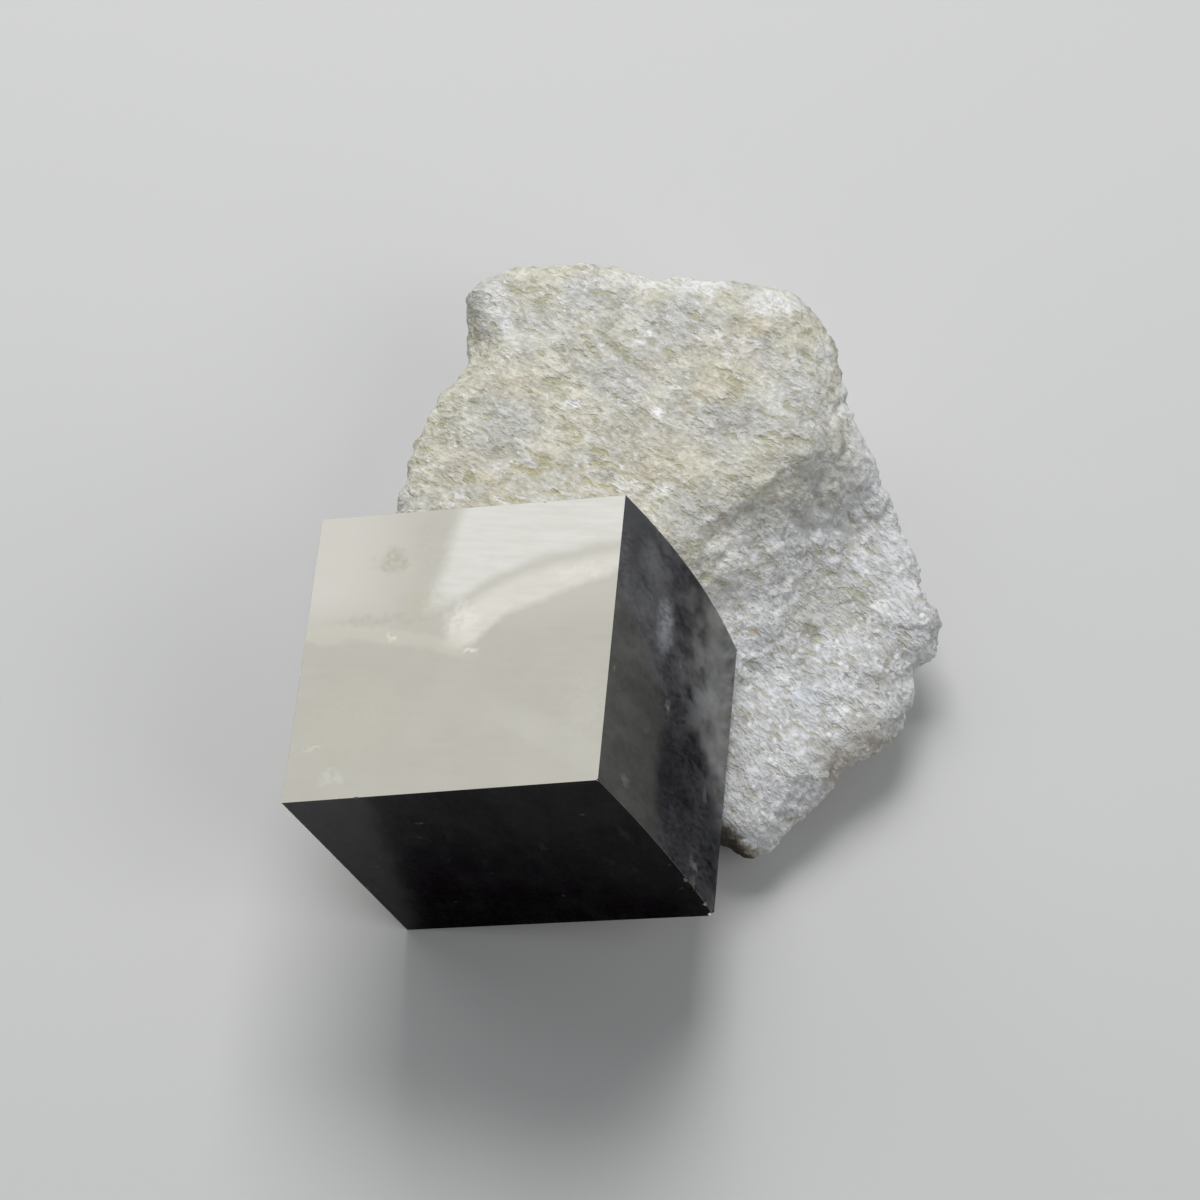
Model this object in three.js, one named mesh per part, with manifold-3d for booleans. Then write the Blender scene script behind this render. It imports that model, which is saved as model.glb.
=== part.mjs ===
// A pyrite crystal on its matrix: one nearly perfect cube of pyrite, leaning with
// one long edge on the table, grown into the corner of a rough block of pale marl.
// Millimetres, +Z up. The origin is on the table, in the middle of the specimen.

import * as THREE from "three";
import { ImprovedNoise } from "three/addons/math/ImprovedNoise.js";
import { mergeVertices } from "three/addons/utils/BufferGeometryUtils.js";
import Module from "manifold-3d";

const wasm = await Module();
wasm.setup();

// Driving dimensions of the crystal

const CUBE_WIDTH = 22; // along the front edge of the bright face
const CUBE_DEPTH = 20.3; // along the edge that lies on the table
const CUBE_HEIGHT = 22.5; // from the bright face down to the face underneath
const CUBE_LEAN = 19.9; // degrees that the cube is rolled up about its edge on the table
const CUBE_TURN = 5.6; // degrees that this edge turns away from straight back
const SIDE_BULGE_FRONT = 0.35; // how far the right face swells along its front edge
const SIDE_BULGE_BACK = 0.75; // and along its back edge
const FACE_STEPS = 10; // squares along each edge of a face
const SEAT_GAP = 0.3; // between the crystal and the wall of its seat in the marl

// Driving dimensions of the marl

const PLATEAU_LEVEL = 14.4; // height of the upper surface behind the crystal
const TERRACE_LEVEL = 6.8; // height of the lower surface in front, beside the crystal
const TOP_ROUNDING = 1.2; // how softly the upper surfaces run into each other
const RIM_ROUNDING = 1.5; // how softly they turn down at the rim
const FOOT_ROUNDING = 0.6; // how softly the sides turn under at the foot
const LEAN_ABOVE_RIM = 0.45; // how fast the sides draw in above the rim, per mm
const UNDERCUT_LOW = 0.8; // how fast they draw in below it, where the rim is low
const UNDERCUT_HIGH = 0.3; // and where it is high
const STONE_DETAIL = 19; // subdivisions of the starting ball, 20 x (n + 1)^2 triangles
const HEART = new THREE.Vector3(20, 25, 3); // the point inside that every ray leaves from
const BALL_SCALE = new THREE.Vector3(20, 22, 9); // the starting ball is squashed like the stone

// The rim, the line where the stone is widest, anticlockwise from the point beside
// the lower right corner of the crystal. The last part runs out of sight under it.
const RIM = [
  [22.8, 4.8, 2.8],
  [24.8, 4.9, 3],
  [28.2, 8.8, 3.4],
  [30.2, 10.6, 3.8],
  [34.1, 14, 4],
  [35, 17.2, 4.4],
  [36.5, 19.2, 4.6],
  [36.7, 20.8, 5],
  [36, 25.8, 7],
  [34.5, 29.8, 9],
  [31, 36, 11.5],
  [29.4, 41, 12],
  [27.6, 43.4, 13.2],
  [21, 44.3, 14],
  [13, 44.7, 14],
  [8, 45.9, 14],
  [5.2, 44.8, 14],
  [3.5, 42, 13.5],
  [3.3, 37.2, 12.5],
  [1.2, 34.2, 13],
  [-1.4, 26.2, 13],
  [-0.4, 20.5, 11],
  [6, 17.5, 5],
  [12.5, 13, 3.5],
  [17, 7.5, 3.5],
];

// Small helpers

const noise = new ImprovedNoise();
const radians = THREE.MathUtils.degToRad;
const { lerp, clamp } = THREE.MathUtils;

function smoothMax(a, b, radius) {
  const overlap = Math.max(radius - Math.abs(a - b), 0) / radius;
  return Math.max(a, b) + (overlap * overlap * radius) / 4;
}

function smoothMin(a, b, radius) {
  return -smoothMax(-a, -b, radius);
}

function solidOf(geometry) {
  const bare = geometry.clone();
  bare.deleteAttribute("normal");
  bare.deleteAttribute("uv");
  const merged = mergeVertices(bare, 1e-4);
  return new wasm.Manifold(
    new wasm.Mesh({
      numProp: 3,
      vertProperties: merged.getAttribute("position").array,
      triVerts: new Uint32Array(merged.index.array),
    }),
  );
}

function geometryOf(solid) {
  const mesh = solid.getMesh();
  const geometry = new THREE.BufferGeometry();
  geometry.setAttribute("position", new THREE.BufferAttribute(mesh.vertProperties, 3));
  geometry.setIndex(new THREE.BufferAttribute(mesh.triVerts, 1));
  geometry.computeVertexNormals();
  return geometry;
}

// The crystal

// Each corner's place as shares [across, back, down] of the cube, then the small
// departures in millimetres that keep this crystal from being a perfect box.
const CORNERS = [
  { share: [0, 0, 0], drift: [0.1, -0.3, 0.1] },
  { share: [1, 0, 0], drift: [0, 0, 0] },
  { share: [0, 1, 0], drift: [0.1, 0.2, 0] },
  { share: [1, 1, 0], drift: [-0.2, 0.1, 0] },
  { share: [0, 0, 1], drift: [-0.3, 0, -0.11] },
  { share: [1, 0, 1], drift: [0.2, 0.1, 0] },
  { share: [0, 1, 1], drift: [-0.3, 0, -0.11] },
  { share: [1, 1, 1], drift: [0.1, -0.2, 0] },
];

function crystalPoint(across, back, down, grow) {
  const point = new THREE.Vector3();
  for (const { share: [i, j, k], drift } of CORNERS) {
    const weight = (i ? across : 1 - across) * (j ? back : 1 - back) * (k ? down : 1 - down);
    point.x += weight * (i * CUBE_WIDTH + drift[0] + (2 * i - 1) * grow);
    point.y += weight * (j * CUBE_DEPTH + drift[1] + (2 * j - 1) * grow);
    point.z -= weight * (k * CUBE_HEIGHT + drift[2] + (2 * k - 1) * grow);
  }
  const bulge = lerp(SIDE_BULGE_FRONT, SIDE_BULGE_BACK, back);
  point.x += across * bulge * 4 * down * (1 - down);
  return point;
}

// Rolls the cube about its edge on the table, then turns it
const leaning = new THREE.Matrix4()
  .makeRotationZ(-radians(CUBE_TURN))
  .multiply(new THREE.Matrix4().makeRotationY(-radians(CUBE_LEAN)));

function crystalGeometry(grow) {
  const box = new THREE.BoxGeometry(1, 1, 1, FACE_STEPS, FACE_STEPS, FACE_STEPS);
  const position = box.getAttribute("position");
  const point = new THREE.Vector3();
  for (let i = 0; i < position.count; i++) {
    point.fromBufferAttribute(position, i);
    const placed = crystalPoint(point.x + 0.5, point.y + 0.5, 0.5 - point.z, grow);
    position.setXYZ(i, placed.x, placed.y, placed.z + CUBE_HEIGHT);
  }
  box.applyMatrix4(leaning);
  box.computeVertexNormals();
  return box;
}

// The marl

// Distance outside the rim as seen from above (negative inside), and the rim's
// height at the nearest point of it
function rimAt(point) {
  let nearest = Infinity;
  let level = 0;
  let inside = false;
  for (let i = 0; i < RIM.length; i++) {
    const [ax, ay, az] = RIM[i];
    const [bx, by, bz] = RIM[(i + 1) % RIM.length];
    const along = ((point.x - ax) * (bx - ax) + (point.y - ay) * (by - ay))
      / ((bx - ax) ** 2 + (by - ay) ** 2);
    const share = clamp(along, 0, 1);
    const gap = Math.hypot(point.x - lerp(ax, bx, share), point.y - lerp(ay, by, share));
    if (gap < nearest) {
      nearest = gap;
      level = lerp(az, bz, share);
    }
    const straddles = ay > point.y !== by > point.y;
    if (straddles && point.x < lerp(ax, bx, (point.y - ay) / (by - ay))) inside = !inside;
  }
  return { outside: inside ? -nearest : nearest, level };
}

function sideField(point) {
  const { outside, level } = rimAt(point);
  const undercut = lerp(UNDERCUT_LOW, UNDERCUT_HIGH, clamp((level - 5) / 8, 0, 1));
  const above = point.z - level;
  return outside + (above > 0 ? above * LEAN_ABOVE_RIM : -above * undercut) - RIM_ROUNDING / 4;
}

// A broken face of the stone: a point on it, and where it looks, in degrees
function brokenFace(x, y, z, azimuth, elevation) {
  const flat = Math.cos(radians(elevation));
  const normal = new THREE.Vector3(
    flat * Math.cos(radians(azimuth)),
    flat * Math.sin(radians(azimuth)),
    Math.sin(radians(elevation)),
  );
  return { normal, reach: normal.dot(new THREE.Vector3(x, y, z)) };
}

const PLATEAU = brokenFace(16, 36, PLATEAU_LEVEL, -95, 86);
const STEP = brokenFace(19.4, 25.4, PLATEAU_LEVEL - 0.8, -60, 50);
const STEEP_STEP = brokenFace(28.6, 31.6, PLATEAU_LEVEL - 0.8, -46, 42);
const SHOULDER = brokenFace(4, 36, PLATEAU_LEVEL - 0.6, 165, 60);
const RIGHT_FLANK = brokenFace(27.5, 38, PLATEAU_LEVEL - 0.6, 5, 55);
const TERRACE = brokenFace(25, 16, TERRACE_LEVEL, -60, 80);
const HIGH_FACES = [PLATEAU, STEP, STEEP_STEP, SHOULDER, RIGHT_FLANK];

function above(face, point) {
  return face.normal.dot(point) - face.reach;
}

function topField(point) {
  const high = HIGH_FACES.map((face) => above(face, point))
    .reduce((a, b) => smoothMax(a, b, TOP_ROUNDING));
  return smoothMin(high, above(TERRACE, point), 2 * TOP_ROUNDING);
}

// Lumps stand out and hollows go in: centre, radius
const LUMPS = [
  { centre: [5.6, 42.6, 12.6], radius: 2.2 },
  { centre: [30.4, 29.4, 7.2], radius: 2 },
];
const HOLLOWS = [
  { centre: [2.4, 39, 15.2], radius: 3 },
  { centre: [31.6, 27, 9.5], radius: 1.9 },
];

function ballField({ centre, radius }, point) {
  return Math.hypot(point.x - centre[0], point.y - centre[1], point.z - centre[2]) - radius;
}

function roughness(point) {
  const lumpy = noise.noise(point.x / 6, point.y / 6, point.z / 6);
  const chipped = noise.noise(point.x / 2.6 + 7, point.y / 2.6, point.z / 2.6);
  return lumpy * 0.7 + chipped * 0.35;
}

function stoneField(point) {
  let field = smoothMax(sideField(point), topField(point), RIM_ROUNDING);
  for (const lump of LUMPS) field = smoothMin(field, ballField(lump, point), 1.2);
  for (const hollow of HOLLOWS) field = smoothMax(field, -ballField(hollow, point), 0.8);
  return smoothMax(field + roughness(point), -point.z, FOOT_ROUNDING);
}

// Every point of the starting ball moves along its ray until it meets the surface
function stoneGeometry() {
  const ball = new THREE.IcosahedronGeometry(1, STONE_DETAIL);
  ball.deleteAttribute("normal");
  ball.deleteAttribute("uv");
  const geometry = mergeVertices(ball, 1e-5);
  const position = geometry.getAttribute("position");
  const ray = new THREE.Vector3();
  const point = new THREE.Vector3();
  for (let i = 0; i < position.count; i++) {
    ray.fromBufferAttribute(position, i).multiply(BALL_SCALE);
    let inside = 0;
    let outside = 2.5;
    for (let halving = 0; halving < 40; halving++) {
      const middle = (inside + outside) / 2;
      point.copy(HEART).addScaledVector(ray, middle);
      if (stoneField(point) < 0) inside = middle;
      else outside = middle;
    }
    position.setXYZ(i, point.x, point.y, point.z);
  }
  return geometry;
}

// Putting it together

const pyrite = new THREE.MeshStandardMaterial({ color: 0xcfcbb8, metalness: 1, roughness: 0.15 });
const marl = new THREE.MeshStandardMaterial({ color: 0xc8c6ba, metalness: 0, roughness: 0.85 });

const crystal = new THREE.Mesh(crystalGeometry(0), pyrite);
crystal.name = "pyrite_cube";

const seat = solidOf(crystalGeometry(SEAT_GAP));
const stone = new THREE.Mesh(geometryOf(solidOf(stoneGeometry()).subtract(seat)), marl);
stone.name = "marl_matrix";

const specimen = new THREE.Group();
specimen.add(crystal, stone);

// The origin moves to the table, under the middle of the whole specimen
const extent = new THREE.Box3().setFromObject(specimen);
const middle = extent.getCenter(new THREE.Vector3()).setZ(extent.min.z);
for (const piece of specimen.children) piece.geometry.translate(-middle.x, -middle.y, -middle.z);

export default specimen;
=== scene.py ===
# %% [markdown]
# # A pyrite crystal on marl
# The specimen is a sharp-edged cube of pyrite that leans with one long edge on
# the table, grown into the corner of a rough block of pale, sugary marl. The
# solid model gives both pieces their place and size. Here each of them gets a
# finer skin: broken grain for the stone, and growth marks for the crystal.

import math

import bmesh
import bpy
from mathutils import Euler, Matrix, Vector


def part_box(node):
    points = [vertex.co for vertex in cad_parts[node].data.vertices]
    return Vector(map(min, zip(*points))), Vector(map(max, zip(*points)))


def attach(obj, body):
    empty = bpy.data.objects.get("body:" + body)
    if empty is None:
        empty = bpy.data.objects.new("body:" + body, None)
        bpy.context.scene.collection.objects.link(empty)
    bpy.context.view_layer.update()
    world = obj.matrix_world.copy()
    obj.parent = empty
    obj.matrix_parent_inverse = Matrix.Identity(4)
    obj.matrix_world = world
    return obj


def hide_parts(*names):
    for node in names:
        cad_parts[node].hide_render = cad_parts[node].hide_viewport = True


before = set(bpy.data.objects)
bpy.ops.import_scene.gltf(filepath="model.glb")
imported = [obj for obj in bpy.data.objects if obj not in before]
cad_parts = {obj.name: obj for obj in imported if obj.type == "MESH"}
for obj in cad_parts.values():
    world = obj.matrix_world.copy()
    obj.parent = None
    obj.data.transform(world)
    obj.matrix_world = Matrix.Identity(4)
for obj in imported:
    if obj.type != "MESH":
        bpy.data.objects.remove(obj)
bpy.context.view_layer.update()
MM = 0.001  # one millimetre, because Blender works in metres here


# %% [markdown]
# ## The camera
# The photograph looks steeply down with a long lens from about 28 cm away. A
# camera in Blender looks along its own -Z, so one turn about X tips it from
# straight down to the right slope. A Track To constraint could aim it as well,
# but place, slope and lens were fitted together to the corners of the crystal,
# and a plain turn keeps that fit.

# %% Camera
CAMERA_PLACE = (-1.83 * MM, -122.79 * MM, 253.98 * MM)
CAMERA_SLOPE = 63.504  # degrees below the horizon
LENS = 117.6  # mm
SENSOR_WIDTH = 36  # mm

camera_turn = (math.radians(90 - CAMERA_SLOPE), 0, 0)
bpy.ops.object.camera_add(location=CAMERA_PLACE, rotation=camera_turn)
camera = bpy.context.object
camera.data.lens = LENS
camera.data.sensor_width = SENSOR_WIDTH
camera.data.clip_start = 10 * MM
bpy.context.scene.camera = camera
print("camera stands", round(camera.location.length / MM), "mm from the origin")


# %% [markdown]
# ## The table and the light
# A small shiny thing shows its surroundings more than itself. The crystal's
# bright face mirrors what is up behind it on the left, so a weak soft lamp is
# seen in it there. A much stronger lamp at the back makes every grain of the
# stone cast a small shadow towards the camera, and a third one on the right
# softens those shadows. All three are large, as a small lamp would draw hard
# edges and a hot spot on the metal.

# %% Table
TABLE_WIDTH = 3  # metres, so that its edge stays far away
bpy.ops.mesh.primitive_plane_add(size=TABLE_WIDTH, location=(0, 0, 0))
table = bpy.context.object
table.name = "table"
table_finish = bpy.data.materials.new("pale_table")
table_finish.use_nodes = True
table_shader = table_finish.node_tree.nodes["Principled BSDF"]
table_shader.inputs["Base Color"].default_value = (0.62, 0.62, 0.61, 1)
table_shader.inputs["Roughness"].default_value = 0.6
table.data.materials.append(table_finish)
print("table is", TABLE_WIDTH, "m wide")


# %% Lamps
def soft_lamp(name, direction, distance, width, power):
    """A square lamp that shines on the specimen from that direction; metres and watts."""
    stand = Vector(direction).normalized() * distance
    bpy.ops.object.light_add(type="AREA", location=stand)
    lamp = bpy.context.object
    lamp.name = name
    lamp.data.shape = "RECTANGLE"
    lamp.data.size = width
    lamp.data.size_y = width
    lamp.data.energy = power
    lamp.rotation_euler = (-stand).to_track_quat("-Z", "Y").to_euler()
    print("lamp", lamp.name, "gives", power, "W")


soft_lamp("mirrored_softbox", (-0.59, 0.49, 0.64), 0.6, 0.34, 0.36)
soft_lamp("back_lamp", (-0.05, 0.6, 0.8), 0.7, 0.36, 3.4)
soft_lamp("fill_lamp", (0.6, -0.35, 0.72), 0.8, 0.5, 1.3)

world = bpy.data.worlds.new("studio")
bpy.context.scene.world = world
world.use_nodes = True
backdrop = world.node_tree.nodes["Background"]
backdrop.inputs["Color"].default_value = (0.9, 0.95, 1.0, 1)
backdrop.inputs["Strength"].default_value = 0.22
bpy.context.scene.view_settings.view_transform = "Standard"


# %% [markdown]
# ## The marl's body
# The stone starts as a copy of its solid. Noise can only move points that are
# there, and the solid has only a few thousand, so a voxel remesh gives it small
# even squares all over. Subdividing would keep its triangles as uneven as they
# are. The loose triangles are merged first, or there is no closed skin.


# %% Copy a solid as a new piece
def only(piece):
    """Selects this piece alone, so that the next operator acts on nothing else."""
    bpy.ops.object.select_all(action="DESELECT")
    piece.select_set(True)
    bpy.context.view_layer.objects.active = piece


SAME_POINT = 0.001 * MM  # points closer than this are one


def copy_of_node(node_name, piece_name):
    """A merged copy of a node of the solid model, alone in the selection."""
    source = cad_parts[node_name]
    piece = source.copy()
    piece.data = source.data.copy()
    piece.name = piece_name
    piece.data.name = piece_name
    piece.data.materials.clear()
    piece.parent = None
    piece.matrix_world.identity()
    bpy.context.collection.objects.link(piece)
    only(piece)
    bpy.ops.object.mode_set(mode="EDIT")
    bpy.ops.mesh.select_all(action="SELECT")
    bpy.ops.mesh.remove_doubles(threshold=SAME_POINT)
    bpy.ops.object.mode_set(mode="OBJECT")
    return piece


stone = copy_of_node("marl_matrix", "marl_block")
print("stone starts with", len(stone.data.polygons), "triangles")

# %% Even mesh
VOXEL = 0.26 * MM
remesh = stone.modifiers.new("even_mesh", "REMESH")
remesh.mode = "VOXEL"
remesh.voxel_size = VOXEL
bpy.ops.object.modifier_apply(modifier=remesh.name)
relax = stone.modifiers.new("relax", "SMOOTH")
relax.factor = 0.6
relax.iterations = 4
bpy.ops.object.modifier_apply(modifier=relax.name)
print("stone has", len(stone.data.polygons), "squares of", VOXEL / MM, "mm")


# %% [markdown]
# ## The foot and the rim
# The stone stands on one flat place. Roughening would ruin it, so the foot is
# lowered now, roughened with the rest, and cut off flat afterwards. The rim is
# what the eye follows first. At five places it is pulled in or out by less than
# a millimetre, with proportional editing, which takes the points around along
# and lets the pull fade, as pressing clay with a thumb does.


# %% A deeper foot
def pick(test):
    """In edit mode, selects just the points that pass the test, and says how many."""
    mesh = bmesh.from_edit_mesh(bpy.context.object.data)
    for point in mesh.verts:
        point.select = test(point)
    mesh.select_flush_mode()
    mesh.select_flush(False)
    bmesh.update_edit_mesh(bpy.context.object.data)
    return sum(1 for point in mesh.verts if point.select)


FOOT_SKIN = 0.15 * MM  # points lower than this are the foot
FOOT_SPARE = 0.9 * MM  # cut off again once the noise has moved the skin
bpy.ops.object.mode_set(mode="EDIT")
bpy.ops.mesh.select_mode(type="VERT")
print("foot points lowered:", pick(lambda point: point.co.z < FOOT_SKIN))
bpy.ops.transform.translate(value=(0, 0, -FOOT_SPARE))


# %% Pull the rim
def near(point, place_mm, reach=0.2):
    """True for a mesh point within reach (mm) of a place given in mm."""
    return (point.co / MM - Vector(place_mm)).length < reach


PULLED_WHOLE = 0.8  # mm around the place on the rim
RIM_PULLS = [  # place on the rim, pull, and how far the pull fades out, in mm
    ((17.3, -9.6, 3.9), (0.55, -0.6, 0), 2.8),
    ((19.8, -5.6, 4.2), (0.35, 0, 0), 1.7),
    ((21.0, 1.9, 6.5), (-0.45, 0, 0), 2.2),
    ((-13.8, 9.2, 12.4), (-0.6, 0, 0), 2.8),
    ((-15.5, 5.3, 12.0), (-0.4, 0, 0), 2.4),
]
for rim_place, pull, fade in RIM_PULLS:
    found = pick(lambda point: near(point, rim_place, PULLED_WHOLE))
    bpy.ops.transform.translate(
        value=[v * MM for v in pull],
        use_proportional_edit=True,
        proportional_edit_falloff="SMOOTH",
        proportional_size=fade * MM,
    )
    print("rim pulled at", rim_place, "by", found, "points")
bpy.ops.object.mode_set(mode="OBJECT")


# %% [markdown]
# ## The marl's broken surface
# A break in sugary rock follows no plan: it is lumpy at a few millimetres and
# grainy below one. Sculpting it by hand takes days. Displace modifiers do it in
# seconds, with textures of falling size: low lumps, the sharp ridges and teeth
# where flakes broke off, chips, and the grains. Ridges and teeth belong on the
# steep sides, so a vertex group keeps them low on flat places, where the rock
# is calmer, and on the upper rim, which is worn.


# %% Where the rock is rough
def rise(value, low, high):
    """0 at low, 1 at high, straight in between."""
    return min(1, max(0, (value - low) / (high - low)))


flanks = stone.vertex_groups.new(name="flanks")
for point in stone.data.vertices:
    flatness = rise(point.normal.z, 0.7, 0.95)
    worn = rise(point.co.z / MM, 11.5, 13.0)
    flanks.add([point.index], (1 - 0.8 * flatness) * (1 - 0.6 * worn), "REPLACE")
print("flanks weighed at", len(stone.data.vertices), "points")


# %% Roughen
def roughen(piece, name, kind, size, height, where="", **settings):
    """Moves the skin by a texture of that size and height in mm, where a vertex group says."""
    texture = bpy.data.textures.new(name, kind)
    texture.noise_scale = size * MM
    for setting, value in settings.items():
        setattr(texture, setting, value)
    move = piece.modifiers.new(name, "DISPLACE")
    move.texture = texture
    move.texture_coords = "LOCAL"
    move.vertex_group = where
    move.strength = height * MM
    move.mid_level = 0.5
    bpy.ops.object.modifier_apply(modifier=name)


RIDGED = {"musgrave_type": "RIDGED_MULTIFRACTAL", "octaves": 2.0}
BROKEN = {"noise_type": "HARD_NOISE", "noise_depth": 1}
roughen(stone, "lumps", "CLOUDS", 2.6, 0.4, noise_depth=1)
roughen(stone, "ridges", "MUSGRAVE", 1.9, -0.3, "flanks", **RIDGED)
roughen(stone, "teeth", "CLOUDS", 1.1, 0.32, "flanks", **BROKEN)
roughen(stone, "chips", "CLOUDS", 0.7, 0.2, noise_depth=2)
roughen(stone, "grains", "VORONOI", 0.45, 0.2)
print("stone now spans", [round(v / MM, 2) for v in stone.dimensions], "mm")

# %% Cut the foot flat
TABLE_TOP = {"plane_co": (0, 0, 0), "plane_no": (0, 0, 1)}
bpy.ops.object.mode_set(mode="EDIT")
bpy.ops.mesh.select_all(action="SELECT")
bpy.ops.mesh.bisect(**TABLE_TOP, use_fill=True, clear_inner=True, threshold=SAME_POINT)
bpy.ops.object.mode_set(mode="OBJECT")
bpy.ops.object.shade_smooth()
stone_triangles = sum(len(face.vertices) - 2 for face in stone.data.polygons)
print("stone now has", stone_triangles, "triangles")


# %% [markdown]
# ## The crystal's body
# A cube primitive is stretched to the crystal's own width, depth and height
# while it still stands square, because its faces are then easy to pick. Its
# corners are nudged by a few tenths of a millimetre, as no crystal is perfect.
# All its faces are cut into a grid, for two reasons: the right face can then be
# swollen row by row, as the real one is, and a chip disturbs the shading of few
# squares. A copy of the solid would do too, but a bevel runs more cleanly along
# squares than along triangles.

# %% Crystal, standing square
CUBE_WIDTH = 22.0
CUBE_DEPTH = 20.3
CUBE_HEIGHT = 22.5

bpy.ops.object.select_all(action="DESELECT")
bpy.ops.mesh.primitive_cube_add(size=1)
crystal = bpy.context.object
crystal.name = "pyrite_crystal"
crystal.scale = (CUBE_WIDTH * MM, CUBE_DEPTH * MM, CUBE_HEIGHT * MM)
crystal.location = (CUBE_WIDTH * MM / 2, CUBE_DEPTH * MM / 2, CUBE_HEIGHT * MM / 2)
bpy.ops.object.transform_apply(location=True, rotation=False, scale=True)
print("cube stands square,", [round(v / MM, 1) for v in crystal.dimensions], "mm")

# %% Nudged corners
NUDGES = [  # a corner as (across, back, up), and its nudge in mm
    ((0, 0, 1), (0.1, -0.3, -0.1)),
    ((0, 1, 1), (0.1, 0.2, 0)),
    ((1, 1, 1), (-0.2, 0.1, 0)),
    ((0, 0, 0), (-0.3, 0, 0.11)),
    ((1, 0, 0), (0.2, 0.1, 0)),
    ((0, 1, 0), (-0.3, 0, 0.11)),
    ((1, 1, 0), (0.1, -0.2, 0)),
]
bpy.ops.object.mode_set(mode="EDIT")
bpy.ops.mesh.select_mode(type="VERT")
for (across, back, up), nudge in NUDGES:
    corner = (across * CUBE_WIDTH, back * CUBE_DEPTH, up * CUBE_HEIGHT)
    found = pick(lambda point: near(point, corner))
    bpy.ops.transform.translate(value=[v * MM for v in nudge])
    print("corner", corner, "nudged", found)

# %% Grid of cuts
ROWS = 14
for direction, span in (
    ((1, 0, 0), CUBE_WIDTH),
    ((0, 1, 0), CUBE_DEPTH),
    ((0, 0, 1), CUBE_HEIGHT),
):
    for row in range(1, ROWS):
        cut_place = [v * span * row / ROWS * MM for v in direction]
        bpy.ops.mesh.select_all(action="SELECT")
        bpy.ops.mesh.bisect(plane_co=cut_place, plane_no=direction)
print("each face cut into", ROWS, "by", ROWS, "squares")

# %% Swollen right face
BULGE_FRONT = 0.35  # mm, halfway up its front edge
BULGE_BACK = 0.75  # mm, halfway up its back edge
swollen = 0
for row in range(1, ROWS):
    level = row / ROWS
    for step in range(ROWS + 1):
        bulge = BULGE_FRONT + (BULGE_BACK - BULGE_FRONT) * step / ROWS
        bulge *= 4 * level * (1 - level)  # nothing at top and bottom, all of it halfway up
        place_in_row = (CUBE_WIDTH, step / ROWS * CUBE_DEPTH, level * CUBE_HEIGHT)
        swollen += pick(lambda point: near(point, place_in_row, 0.5))
        bpy.ops.transform.translate(value=(bulge * MM, 0, 0))
print("points moved out on the right face:", swollen)
bpy.ops.mesh.select_all(action="SELECT")
bpy.ops.mesh.normals_make_consistent(inside=False)

# %% A hair of a bevel
bpy.ops.mesh.select_mode(type="EDGE")
bpy.ops.mesh.select_all(action="DESELECT")
bpy.ops.mesh.edges_select_sharp(sharpness=math.radians(40))
bpy.ops.mesh.bevel(offset=0.02 * MM, segments=1, affect="EDGES")
bpy.ops.object.mode_set(mode="OBJECT")
print("crystal has", len(crystal.data.polygons), "faces")

# %% [markdown]
# ## Chips
# Pyrite is brittle, and the real crystal has a few tiny chips along its edges,
# most of them near its lowest right corner. A dark spot in the finish would not
# break the line of the edge. So each is bitten out with a Boolean by a small,
# flat ball with few faces, which leaves a faceted hollow like a real one.


# %% Bite chips out
def bite(place_mm, size_mm):
    """Cuts a small ball, flattened as given, out of the crystal at that place."""
    bpy.ops.object.select_all(action="DESELECT")
    ball_place = [v * MM for v in place_mm]
    bpy.ops.mesh.primitive_ico_sphere_add(subdivisions=2, radius=1, location=ball_place)
    tooth = bpy.context.object
    tooth.scale = [v * MM for v in size_mm]
    tooth.rotation_euler = (place_mm[2], place_mm[1], 0.4)  # each one turned differently
    bpy.ops.object.transform_apply(location=True, rotation=True, scale=True)
    only(crystal)
    cut = crystal.modifiers.new("chip", "BOOLEAN")
    cut.operation = "DIFFERENCE"
    cut.object = tooth
    bpy.ops.object.modifier_apply(modifier=cut.name)
    bpy.data.objects.remove(tooth)


CHIPS = [  # (across, back, up) and radii, in mm
    ((22.35, 0.0, 1.9), (0.28, 0.22, 0.7)),
    ((22.3, 0.05, 4.6), (0.25, 0.2, 0.6)),
    ((22.3, 0.05, 6.2), (0.2, 0.2, 0.4)),
    ((22.2, 0.05, 0.2), (0.4, 0.4, 0.35)),
    ((22.05, -0.05, 22.5), (0.2, 0.2, 0.15)),
    ((5.3, -0.3, 22.45), (0.4, 0.15, 0.12)),
    ((16.2, 20.45, 22.5), (0.35, 0.15, 0.15)),
    ((0, 9.0, 22.45), (0.15, 0.4, 0.15)),
    ((22.1, 13.5, 22.45), (0.12, 0.4, 0.12)),
]
for chip_place, chip_size in CHIPS:
    bite(chip_place, chip_size)
print("crystal has", len(CHIPS), "chips and", len(crystal.data.polygons), "faces")

# %% [markdown]
# ## Leaning over
# The crystal has grown out of its rock at a slant. Shaped like that, each pick
# and cut above would have needed slanted places, so it is leaned over last. The
# turn is applied to the mesh: the object itself stays at the origin, unturned,
# and the finish can count on that.

# %% Lean the crystal over
CUBE_LEAN = math.radians(19.9)
CUBE_TURN = math.radians(5.6)
LEANING = (0, -CUBE_LEAN, -CUBE_TURN)
CUBE_FOOT = (-14.918 * MM, -21.833 * MM, 0)  # where the lowest corner at the front stands

only(crystal)
crystal.rotation_euler = LEANING
crystal.location = CUBE_FOOT
bpy.ops.object.transform_apply(location=True, rotation=True, scale=False)
bpy.ops.object.shade_smooth_by_angle(angle=math.radians(20))
low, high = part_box("pyrite_cube")
print("solid crystal spans", [round((h - l) / MM, 2) for l, h in zip(low, high)], "mm")
print("this one spans", [round(v / MM, 2) for v in crystal.dimensions], "mm")


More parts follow.
